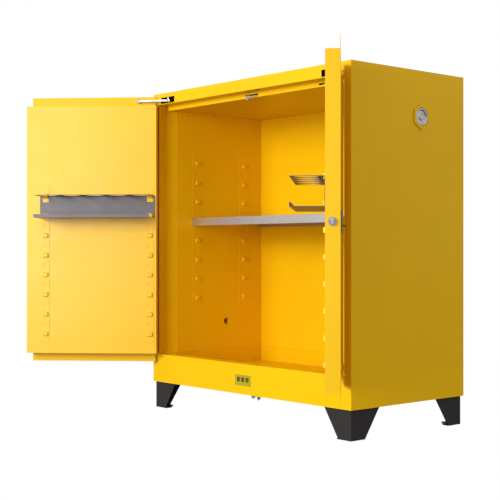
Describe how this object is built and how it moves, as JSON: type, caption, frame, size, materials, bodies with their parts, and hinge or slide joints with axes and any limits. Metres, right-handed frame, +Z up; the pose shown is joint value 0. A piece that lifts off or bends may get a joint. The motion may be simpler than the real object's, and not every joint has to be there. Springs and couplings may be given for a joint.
{
  "type": "flammable storage cabinet",
  "caption": "Two-door double-walled steel safety cabinet on corner legs, with adjustable shelf, leak-tight sump, side vents, door racks for cans, three-point latch and self-closing linkage",
  "frame": {"origin": "on the floor under the centre of the body: the centre of the four floor-bolt holes", "axes": "+X to the viewer's right along the front, +Y from the front to the back, +Z up; the doors are on the -Y side and are drawn at their fully open stop"},
  "size_m": [1.7361, 1.0187, 1.243],
  "materials": {
    "yellow_paint": "semi-gloss powder coat",
    "black_paint": "satin powder coat",
    "grey_paint": "satin powder coat",
    "closer_paint": "satin paint",
    "galvanised_steel": "galvanised sheet",
    "zinc_plate": "bright zinc plate",
    "grey_plastic": "fine texture",
    "black_plastic": "fine texture",
    "printed_plate": "gloss film, plain"
  },
  "bodies": {
    "cabinet": {"left_side_panel": "yellow_paint", "right_side_panel": "yellow_paint", "top_panel": "yellow_paint", "back_panel": "yellow_paint", "bottom_panel": "yellow_paint", "left_liner": "yellow_paint", "right_liner": "yellow_paint", "back_liner": "yellow_paint", "ceiling_liner": "yellow_paint", "sump_pan": "yellow_paint", "left_stile": "yellow_paint", "right_stile": "yellow_paint", "header": "yellow_paint", "sill": "yellow_paint", "leg_front_left": "black_paint", "leg_front_right": "black_paint", "leg_rear_left": "black_paint", "leg_rear_right": "black_paint", "leg_bolts": "zinc_plate", "wall_standards": "yellow_paint", "shelf": "galvanised_steel", "shelf_clips": "zinc_plate", "data_plate": "printed_plate", "left_vent": "yellow_paint", "right_vent": "yellow_paint", "vent_caps": "zinc_plate", "ground_stud": "zinc_plate", "left_closer_track": "galvanised_steel", "right_closer_track": "galvanised_steel", "left_closer_cylinder": "closer_paint", "right_closer_cylinder": "closer_paint", "left_frame_leaf": "yellow_paint", "right_frame_leaf": "yellow_paint", "hinge_pins": "zinc_plate", "stile_rivets": "yellow_paint"},
    "sequence_bar": {"sequence_bar": "zinc_plate"},
    "left_door": {"left_door_skin": "yellow_paint", "left_door_pan": "yellow_paint", "left_door_leaf": "yellow_paint", "left_door_standards": "yellow_paint", "left_can_rack": "grey_paint", "left_link_bracket": "zinc_plate"},
    "right_door": {"right_door_skin": "yellow_paint", "right_door_pan": "yellow_paint", "right_door_leaf": "yellow_paint", "right_door_standards": "yellow_paint", "right_can_rack": "grey_paint", "right_link_bracket": "zinc_plate", "handle_bezel": "grey_plastic", "bolt_guide": "zinc_plate"},
    "paddle": {"paddle": "black_plastic"},
    "lock_cylinder": {"lock_cylinder": "zinc_plate"},
    "slam_bolt": {"slam_bolt": "zinc_plate"},
    "latch_cam": {"latch_cam": "zinc_plate"},
    "upper_latch_rod": {"upper_latch_rod": "zinc_plate"},
    "lower_latch_rod": {"lower_latch_rod": "zinc_plate"},
    "left_link_arm": {"left_link_arm": "zinc_plate"},
    "right_link_arm": {"right_link_arm": "zinc_plate"},
    "left_closer_slide": {"left_closer_slide": "zinc_plate"},
    "right_closer_slide": {"right_closer_slide": "zinc_plate"}
  },
  "joints": [
    {"name": "left_door_swing", "type": "hinge", "parent": "cabinet", "child": "left_door", "pos_m": [-0.513, -0.296, 0.7], "axis": [0, 0, 1], "range_deg": [0, 134.9]},
    {"name": "right_door_swing", "type": "hinge", "parent": "cabinet", "child": "right_door", "pos_m": [0.513, -0.296, 0.7], "axis": [0, 0, -1], "range_deg": [0, 134.3]},
    {"name": "left_link_turn", "type": "hinge", "parent": "left_door", "child": "left_link_arm", "pos_m": [-0.55249, -0.35547, 1.2125], "axis": [0, 0, 1], "range_deg": [-77, 0]},
    {"name": "right_link_turn", "type": "hinge", "parent": "right_door", "child": "right_link_arm", "pos_m": [0.55187, -0.35588, 1.2125], "axis": [0, 0, -1], "range_deg": [-77, 0]},
    {"name": "left_slide_travel", "type": "slide", "parent": "cabinet", "child": "left_closer_slide", "axis": [0, 1, 0], "range_m": [0, 0.1225]},
    {"name": "right_slide_travel", "type": "slide", "parent": "cabinet", "child": "right_closer_slide", "axis": [0, 1, 0], "range_m": [0, 0.1225]},
    {"name": "sequence_bar_slide", "type": "slide", "parent": "cabinet", "child": "sequence_bar", "axis": [1, 0, 0], "range_m": [0, 0.04]},
    {"name": "paddle_pull", "type": "hinge", "parent": "right_door", "child": "paddle", "pos_m": [0.82132, -0.6141, 0.732], "axis": [0.6984, -0.7157, 0], "range_deg": [0, 25], "stiffness_Nm_per_rad": 0.3},
    {"name": "slam_bolt_slide", "type": "slide", "parent": "right_door", "child": "slam_bolt", "axis": [-0.6984, 0.7157, 0], "range_m": [0, 0.0086]},
    {"name": "upper_rod_slide", "type": "slide", "parent": "right_door", "child": "upper_latch_rod", "axis": [0, 0, 1], "range_m": [0, 0.014]},
    {"name": "latch_cam_turn", "type": "hinge", "parent": "right_door", "child": "latch_cam", "pos_m": [0.81166, -0.62353, 0.705], "axis": [-0.7157, -0.6984, 0], "range_deg": [0, 35.2]},
    {"name": "lower_rod_slide", "type": "slide", "parent": "right_door", "child": "lower_latch_rod", "axis": [0, 0, -1], "range_m": [0, 0.0141]},
    {"name": "lock_turn", "type": "hinge", "parent": "right_door", "child": "lock_cylinder", "pos_m": [0.8224, -0.61305, 0.679], "axis": [-0.7157, -0.6984, 0], "range_deg": [0, 90]}
  ],
  "couplings": [
    {"joint": "left_link_turn", "follows": "left_door_swing", "ratio": -0.56242},
    {"joint": "right_link_turn", "follows": "right_door_swing", "ratio": -0.56412},
    {"joint": "left_slide_travel", "follows": "left_door_swing", "m_per_rad": 0.05176},
    {"joint": "right_slide_travel", "follows": "right_door_swing", "m_per_rad": 0.051811},
    {"joint": "slam_bolt_slide", "follows": "paddle_pull", "m_per_rad": 0.019481},
    {"joint": "latch_cam_turn", "follows": "upper_rod_slide", "rad_per_m": 43.633},
    {"joint": "lower_rod_slide", "follows": "upper_rod_slide", "ratio": 1}
  ]
}
